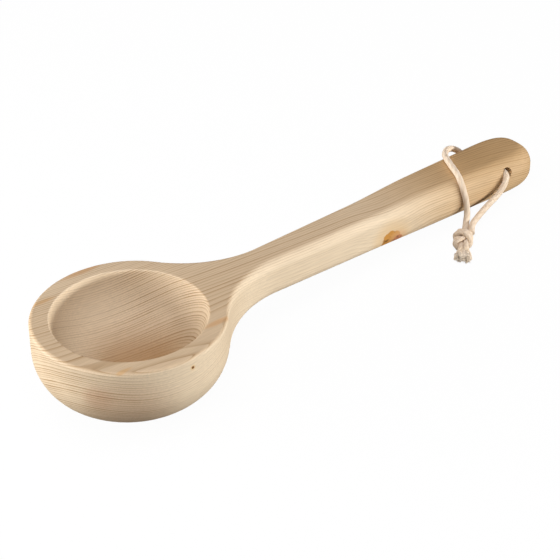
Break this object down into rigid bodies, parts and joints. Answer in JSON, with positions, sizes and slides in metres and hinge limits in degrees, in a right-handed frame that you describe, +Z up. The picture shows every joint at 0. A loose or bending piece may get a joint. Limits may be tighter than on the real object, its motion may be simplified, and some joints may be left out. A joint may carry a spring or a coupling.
{
  "type": "wooden sauna ladle",
  "caption": "Wooden sauna ladle: round bowl with a ball-shaped hollow, flat straight handle that widens to a rounded end, and a knotted hanging cord through a cross hole.",
  "frame": {"origin": "on the table under the middle of the ladle's bounding box, measured without the cord and its knot", "axes": "+X from the bowl along the handle, +Z up, +Y to the far side of the ladle; the ladle lies as it comes to rest, tipped 4.9 degrees about +Y on to the end of its handle"},
  "size_m": [0.4062, 0.125, 0.0611],
  "materials": {
    "wood": "planed and sanded pale softwood, unvarnished",
    "cord": "twisted undyed cotton"
  },
  "bodies": {
    "root": {"ladle": "wood", "cord": "cord", "cord_knot": "cord"}
  },
  "joints": []
}
